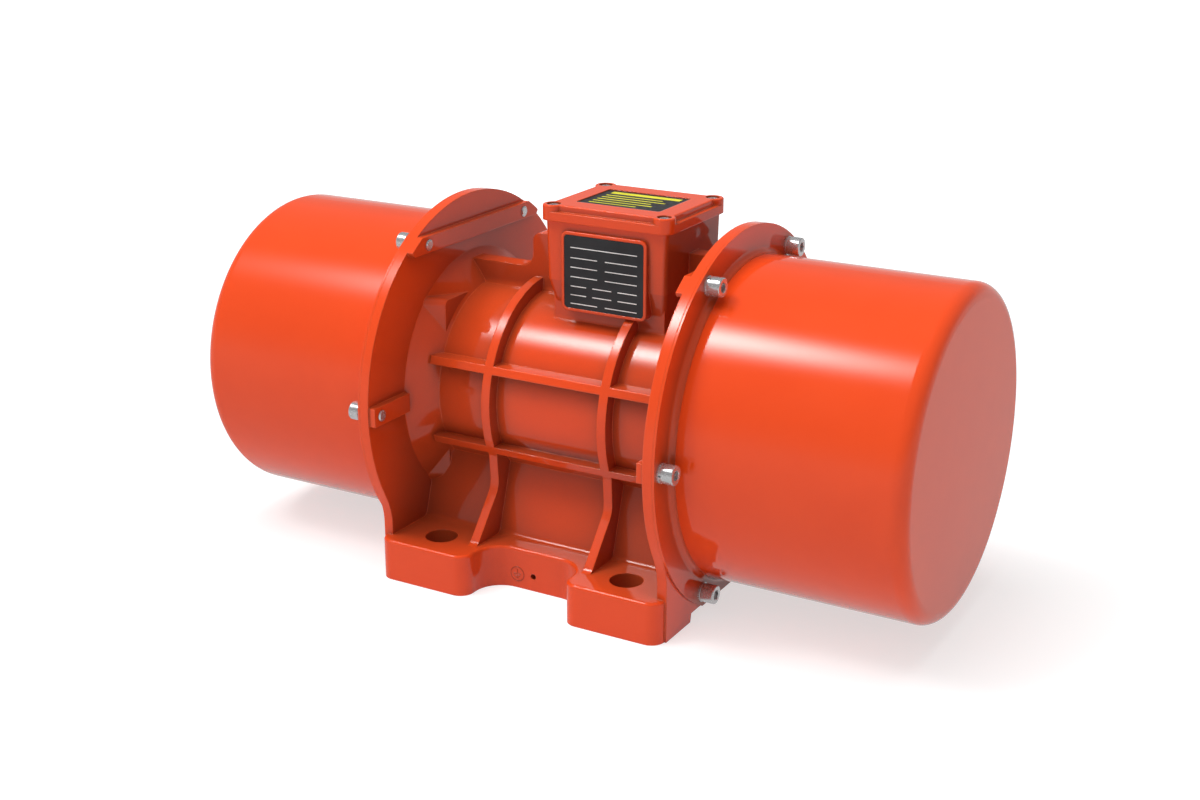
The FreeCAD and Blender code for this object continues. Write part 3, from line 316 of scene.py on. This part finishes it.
def dress_nodes():
    """Give every node the material of its slot."""
    for part in frame["record"]["subparts"]:
        node = bpy.data.objects[part["node"]]
        node.data.materials.clear()
        # Cover rims take the paint with painted shade from the pieces beside them
        rim = part["node"].startswith("cover_rim")
        node.data.materials.append(materials["rim_shaded_paint" if rim else part["material_slot"]])


# Pieces with finer detail than the frame's solids

mm = 0.001
sharp_angle = math.radians(20)
# Share of the plate's height for the upper edge, and shares of its width for the ends of each field
nameplate_fields = (
    (0.16, ((0.08, 0.92),)),
    (0.30, ((0.08, 0.42), (0.52, 0.92))),
    (0.43, ((0.08, 0.42), (0.52, 0.92))),
    (0.56, ((0.08, 0.42), (0.52, 0.92))),
    (0.69, ((0.08, 0.28), (0.36, 0.60), (0.68, 0.92))),
    (0.81, ((0.08, 0.28), (0.36, 0.60), (0.68, 0.92))),
    (0.93, ((0.08, 0.42), (0.52, 0.92))),
)
band_thickness = 6.0 * mm
rule_thickness = 1.7 * mm
field_thickness = 0.6 * mm
print_height = 0.04 * mm
# Shares of the label's width for both ends, share of its depth for the upper edge, thickness
lid_rules = (
    (0.09, 0.93, 0.08, band_thickness),
    (0.09, 0.78, 0.31, rule_thickness),
    (0.09, 0.86, 0.44, rule_thickness),
    (0.09, 0.74, 0.57, rule_thickness),
    (0.09, 0.80, 0.70, rule_thickness),
    (0.09, 0.66, 0.83, rule_thickness),
)
ring_points = 48
gland_points = 144
gland_ribs = 24
gland_rib_depth = 0.5 * mm
gland_thread_length = 7 * mm
gland_thread_radius = 9.98 * mm
gland_hexagon_length = 6 * mm
gland_hexagon_across = 24 * mm
gland_hexagon_corner = 13.3 * mm
gland_washer_radius = 12.1 * mm
gland_face_radius = 11.7 * mm
gland_neck_radius = 10.3 * mm
gland_cap_radius = 11 * mm
gland_bore_radius = 7.5 * mm
socket_share = 0.94
earth_mark_centre = (-17 * mm, -86.6 * mm, 10.5 * mm)
earth_mark_radius = 5.3 * mm
earth_circle_ridge = 0.4 * mm
earth_line_ridge = 0.35 * mm
# Ends (x, z) of its lines, in mm from its centre
earth_mark_lines = (((0, 3.4), (0, 0)), ((-3, 0), (3, 0)), ((-2, -1.5), (2, -1.5)), ((-1, -3), (1, -3)))
# Radius and height of a screw head; radius and pitch of a thread
cover_head = (6.5 * mm, 7.8 * mm)
cover_thread = (4 * mm, 1.25 * mm)
lid_head = (3.5 * mm, 4.0 * mm)
lid_thread = (2 * mm, 0.7 * mm)


def add_piece(name, form, material, replaced=None):
    """Turn a built mesh into a piece of the casing that takes a slot's material."""
    bmesh.ops.recalc_face_normals(form, faces=form.faces)
    mesh = bpy.data.meshes.new(name)
    form.to_mesh(mesh)
    form.free()
    mesh.shade_smooth()
    mesh.set_sharp_from_angle(angle=sharp_angle)
    mesh.materials.append(materials[material])
    piece = bpy.data.objects.new(name, mesh)
    bpy.context.collection.objects.link(piece)
    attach(piece, "casing")
    if replaced:
        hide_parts(replaced)


def polar(x, radii):
    """Points round X, one for each radius."""
    turn = 2 * math.pi / len(radii)
    return [Vector((x, r * math.cos(i * turn), r * math.sin(i * turn))) for i, r in enumerate(radii)]


def ring(x, radius, points=ring_points):
    return polar(x, [radius] * points)


def hexagon(x, across, limit, points=ring_points):
    """Hexagon round X with its corners cut by a circle."""
    side = math.pi / 3
    offs = [(i * 2 * math.pi / points) % side - side / 2 for i in range(points)]
    return polar(x, [min(limit, across / 2 / math.cos(off)) for off in offs])


def skin(form, rings, place):
    """Closed skin through rings with the same number of points."""
    loops = [[form.verts.new(place @ point) for point in points] for points in rings]
    for near, far in zip(loops, loops[1:]):
        for i in range(len(near)):
            form.faces.new((near[i - 1], near[i], far[i], far[i - 1]))
    form.faces.new(loops[0])
    form.faces.new(loops[-1])


def cap_screw(form, place, tip, top, thread, head):
    """Socket head screw along X: chamfered threaded tip, eased head and drilled hexagon socket."""
    radius, pitch = thread
    head_radius, head_height = head
    seat = top - head_height
    edge = 0.07 * head_radius
    depth = 0.55 * pitch
    across = socket_share * head_radius
    mouth = across / math.sqrt(3) + 0.3 * mm
    floor = top - 0.5 * head_height
    rings = [ring(tip, radius - 1.6 * depth), ring(tip + depth, radius)]
    for i in range(3):
        x = tip + depth + i * pitch
        rings += [ring(x + 0.1 * pitch, radius), ring(x + 0.5 * pitch, radius - depth),
                  ring(x + pitch, radius)]
    rings += [ring(seat - edge, radius), ring(seat, radius + edge), ring(seat, head_radius - edge / 2),
              ring(seat + edge / 2, head_radius), ring(top - 1.6 * edge, head_radius),
              ring(top - 0.5 * edge, head_radius - 0.5 * edge), ring(top, head_radius - 1.6 * edge),
              ring(top, mouth), hexagon(top - 0.3 * mm, across, mouth), hexagon(floor, across, mouth),
              ring(floor, 0.48 * across), ring(floor - 0.2 * across, 0.02 * across)]
    skin(form, rings, place)


def add_cover_screws():
    """Six screws at each end, their sockets turned each by its own amount."""
    for end, turn in (("left", math.pi), ("right", 0)):
        node = "cover_screws_" + end
        low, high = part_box(node)
        tip, top = sorted((abs(low.x), abs(high.x)))
        circle = -low.y - cover_head[0]
        form = bmesh.new()
        for i in range(6):
            place = (Matrix.Translation((0, 0, shaft_height)) @ Matrix.Rotation(turn, 4, "Z")
                     @ Matrix.Rotation(i * math.pi / 3, 4, "X") @ Matrix.Translation((0, circle, 0))
                     @ Matrix.Rotation(0.7 * i + 0.2, 4, "X"))
            cap_screw(form, place, tip, top, cover_thread, cover_head)
        add_piece("cap_screws_" + end, form, "bright_steel", node)


def add_lid_screws():
    """Four screws, one in each boss of the lid."""
    low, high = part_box("lid_screws")
    form = bmesh.new()
    for i, x in enumerate((low.x + lid_head[0], high.x - lid_head[0])):
        for j, y in enumerate((low.y + lid_head[0], high.y - lid_head[0])):
            place = (Matrix.Translation((x, y, 0)) @ Matrix.Rotation(-math.pi / 2, 4, "Y")
                     @ Matrix.Rotation(0.5 * i + 0.3 * j, 4, "X"))
            cap_screw(form, place, low.z, high.z, lid_thread, lid_head)
    add_piece("lid_cap_screws", form, "bright_steel", "lid_screws")


def add_gland():
    """Cable gland with a sealing washer, chamfered hexagon and ribbed cap."""
    low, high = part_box("cable_gland")
    place = (Matrix.Translation(((low.x + high.x) / 2, 0, (low.z + high.z) / 2))
             @ Matrix.Rotation(math.pi / 2, 4, "Z"))
    face = low.y + gland_thread_length
    cap = face + gland_hexagon_length
    end = high.y

    def round_at(x, radius):
        return ring(x, radius, gland_points)

    def ribbed(x, radius):
        turn = 2 * math.pi * gland_ribs / gland_points
        waves = [max(0, math.cos(i * turn)) for i in range(gland_points)]
        return polar(x, [radius - gland_rib_depth * wave for wave in waves])

    def hexed(x):
        return hexagon(x, gland_hexagon_across, gland_hexagon_corner, gland_points)

    rings = [round_at(low.y, gland_thread_radius - 0.78 * mm),
             round_at(low.y + 0.8 * mm, gland_thread_radius),
             round_at(face - 0.4 * mm, gland_thread_radius),
             round_at(face - 0.4 * mm, gland_washer_radius),
             round_at(face, gland_washer_radius),
             round_at(face, gland_face_radius),
             hexed(face + 0.8 * mm),
             hexed(cap - 0.8 * mm),
             round_at(cap, gland_face_radius),
             round_at(cap, gland_neck_radius),
             round_at(cap + 0.7 * mm, gland_neck_radius),
             ribbed(cap + 0.8 * mm, gland_cap_radius - 0.1 * mm),
             ribbed(cap + 1.3 * mm, gland_cap_radius),
             ribbed(cap + 8.2 * mm, gland_cap_radius),
             round_at(cap + 9 * mm, gland_cap_radius - 0.4 * mm),
             round_at(end - 2.4 * mm, gland_cap_radius - 0.9 * mm),
             round_at(end - 1.2 * mm, gland_cap_radius - 1.6 * mm),
             round_at(end - 0.3 * mm, gland_cap_radius - 2.5 * mm),
             round_at(end, gland_bore_radius + 0.4 * mm),
             round_at(end - 0.3 * mm, gland_bore_radius),
             round_at(low.y + 1 * mm, gland_bore_radius)]
    form = bmesh.new()
    skin(form, rings, place)
    add_piece("gland_body", form, "black_plastic", "cable_gland")


def ridge(form, points, radius, closed=False):
    """Half-sunk round ridge through points in one upright plane facing the front."""
    sides = 8
    across = Vector((0, 1, 0))
    loops = []
    count = len(points)
    for i, point in enumerate(points):
        last = points[i - 1] if closed or i else point
        after = points[(i + 1) % count] if closed or i < count - 1 else point
        side = (after - last).normalized().cross(across)
        loops.append([form.verts.new(point + radius * (side * math.cos(a) + across * math.sin(a)))
                      for a in (2 * k * math.pi / sides for k in range(sides))])
    pairs = list(zip(loops, loops[1:])) + ([(loops[-1], loops[0])] if closed else [])
    for near, far in pairs:
        for i in range(sides):
            form.faces.new((near[i - 1], near[i], far[i], far[i - 1]))
    if not closed:
        form.faces.new(loops[0])
        form.faces.new(loops[-1])


def add_earth_mark():
    """Cast earth mark in a circle beside the earth hole of the foot, its ridges dark red as painted
    shade.
    """
    centre = Vector(earth_mark_centre)
    form = bmesh.new()
    circle = [centre + earth_mark_radius * Vector((math.cos(a), 0, math.sin(a)))
              for a in (2 * k * math.pi / ring_points for k in range(ring_points))]
    ridge(form, circle, earth_circle_ridge, True)
    for ends in earth_mark_lines:
        ridge(form, [centre + Vector((x * mm, 0, z * mm)) for x, z in ends], earth_line_ridge)
    add_piece("earth_mark", form, "mark_shade_paint")


def strip(form, low, high):
    """Thin printed bar between two corners."""
    middle = (low + high) / 2
    size = high - low
    bmesh.ops.create_cube(form, size=1, matrix=Matrix.Translation(middle) @ Matrix.Diagonal((*size, 1)))


def add_nameplate_print():
    """Blank ruled form on the nameplate: a head line and rows of fields."""
    low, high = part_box("nameplate")
    width = high.x - low.x
    height = high.z - low.z
    front = low.y
    form = bmesh.new()

    def rule(left, right, down, thick):
        x0 = low.x + left * width
        z0 = high.z - down * height
        x1 = x0 + (right - left) * width
        strip(form, Vector((x0, front - print_height, z0 - thick)), Vector((x1, front, z0)))

    for down, fields in nameplate_fields:
        for left, right in fields:
            rule(left, right, down, field_thickness)
    add_piece("nameplate_print", form, "white_print")


def add_lid_print():
    """Plain yellow band and rules on the lid's label."""
    low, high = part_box("lid_label_plate")
    width = high.x - low.x
    depth = high.y - low.y
    form = bmesh.new()
    for left, right, down, thick in lid_rules:
        x0 = low.x + left * width
        y0 = high.y - down * depth
        x1 = x0 + (right - left) * width
        strip(form, Vector((x0, y0 - thick, high.z)), Vector((x1, y0, high.z + print_height)))
    add_piece("lid_print", form, "yellow_print")


# Studio

def add_floor():
    """Pale floor that shows white to the camera, keeps the object's shadow and is dark in the holes."""
    mesh = bpy.data.meshes.new("floor")
    form = bmesh.new()
    bmesh.ops.create_grid(form, x_segments=8, y_segments=8, size=floor_half_width)
    form.to_mesh(mesh)
    form.free()
    floor = bpy.data.objects.new("floor", mesh)
    bpy.context.collection.objects.link(floor)
    pale = Shader("floor")
    pale.set(Roughness=0.9, Specular_IOR_Level=0.0)
    pale.set(Emission_Color=(1, 1, 1, 1))
    path = pale.tree.nodes.new("ShaderNodeLightPath")
    seen = pale.math("MAXIMUM", path.outputs["Is Camera Ray"], path.outputs["Is Transmission Ray"])
    mirrored = path.outputs["Is Glossy Ray"]
    reach = pale.tree.nodes.new("ShaderNodeVectorMath")
    reach.operation = "LENGTH"
    pale.link(pale.coords, reach.inputs[0])
    lift = pale.ramp(reach.outputs["Value"], floor_lift, 1.0, floor_fade_start, floor_fade_end)
    folded = pale.tree.nodes.new("ShaderNodeVectorMath")
    folded.operation = "ABSOLUTE"
    pale.link(pale.coords, folded.inputs[0])
    off_hole = pale.tree.nodes.new("ShaderNodeVectorMath")
    off_hole.operation = "DISTANCE"
    pale.link(folded.outputs["Vector"], off_hole.inputs[0])
    off_hole.inputs[1].default_value = foot_hole
    # Painted shade: the glow is left out in circles under the foot holes, so the floor there shows only
    # the little light that reaches it
    beside = pale.math("GREATER_THAN", off_hole.outputs["Value"], hole_shade_radius)
    lift = pale.math("MULTIPLY", lift, beside)
    bounce = pale.ramp(seen, floor_bounce, floor_seen, 0.0, 1.0)
    pale.feed("Base Color", pale.math("MULTIPLY", bounce, pale.ramp(mirrored, 1.0, 0.0, 0.0, 1.0)))
    glow = pale.math("MULTIPLY", mirrored, floor_mirrored)
    pale.feed("Emission Strength", pale.math("ADD", pale.math("MULTIPLY", seen, lift), glow))
    floor.data.materials.append(pale.material)


def add_lamp(name, place, size, power):
    """Soft square lamp that lights the object and isn't mirrored in its gloss."""
    data = bpy.data.lights.new(name, "AREA")
    data.energy = power
    data.size = size
    data.shape = "SQUARE"
    lamp = bpy.data.objects.new(name, data)
    lamp.location = place
    direction = Vector(place) - Vector(lamp_aim)
    lamp.rotation_euler = direction.to_track_quat("Z", "Y").to_euler()
    lamp.visible_glossy = False
    bpy.context.collection.objects.link(lamp)


def add_world():
    """Room light with a soft window high on the left and haze at the horizon, white to the camera."""
    world = bpy.data.worlds.new("studio")
    bpy.context.scene.world = world
    world.use_nodes = True
    tree = world.node_tree

    def math_node(operation, *values):
        node = tree.nodes.new("ShaderNodeMath")
        node.operation = operation
        for socket, value in zip(node.inputs, values):
            if isinstance(value, (int, float)):
                socket.default_value = value
            else:
                tree.links.new(value, socket)
        return node.outputs["Value"]

    def along(direction, centre):
        node = tree.nodes.new("ShaderNodeVectorMath")
        node.operation = "DOT_PRODUCT"
        node.inputs[1].default_value = direction
        tree.links.new(coords.outputs["Generated"], node.inputs[0])
        return math_node("SUBTRACT", node.outputs["Value"], centre)

    coords = tree.nodes.new("ShaderNodeTexCoord")
    wide = math_node("DIVIDE", along((1, 0, 0), window_x), window_width)
    high = math_node("DIVIDE", along(window_up, 0), window_height)
    spread = math_node("ADD", math_node("MULTIPLY", wide, wide), math_node("MULTIPLY", high, high))
    glow = math_node("EXPONENT", math_node("MULTIPLY", spread, -0.5))  # a Gauss bell
    above = math_node("GREATER_THAN", along((0, 0, 1), 0), 0)
    window = math_node("MULTIPLY", math_node("MULTIPLY", glow, above), window_strength)
    path = tree.nodes.new("ShaderNodeLightPath")
    seen = math_node("MAXIMUM", path.outputs["Is Camera Ray"], path.outputs["Is Transmission Ray"])
    low = math_node("MAXIMUM", math_node("SUBTRACT", 1, along((0, 0, 1 / horizon_rise), 0)), 0)
    low = math_node("MULTIPLY", math_node("MINIMUM", low, 1), path.outputs["Is Glossy Ray"])
    haze = math_node("MULTIPLY", math_node("MULTIPLY", low, low), floor_mirrored - room_light)
    strength = math_node("ADD", math_node("ADD", window, haze), room_light)
    strength = math_node("ADD", seen, math_node("MULTIPLY", strength, math_node("SUBTRACT", 1, seen)))
    background = tree.nodes["Background"]
    background.inputs["Color"].default_value = (1, 1, 1, 1)
    tree.links.new(strength, background.inputs["Strength"])


def add_light():
    add_world()
    for lamp in lamps:
        add_lamp(*lamp)


add_camera()
dress_nodes()
add_cover_screws()
add_lid_screws()
add_gland()
add_earth_mark()
add_nameplate_print()
add_lid_print()
add_floor()
add_light()
bpy.context.scene.view_settings.view_transform = "Standard"
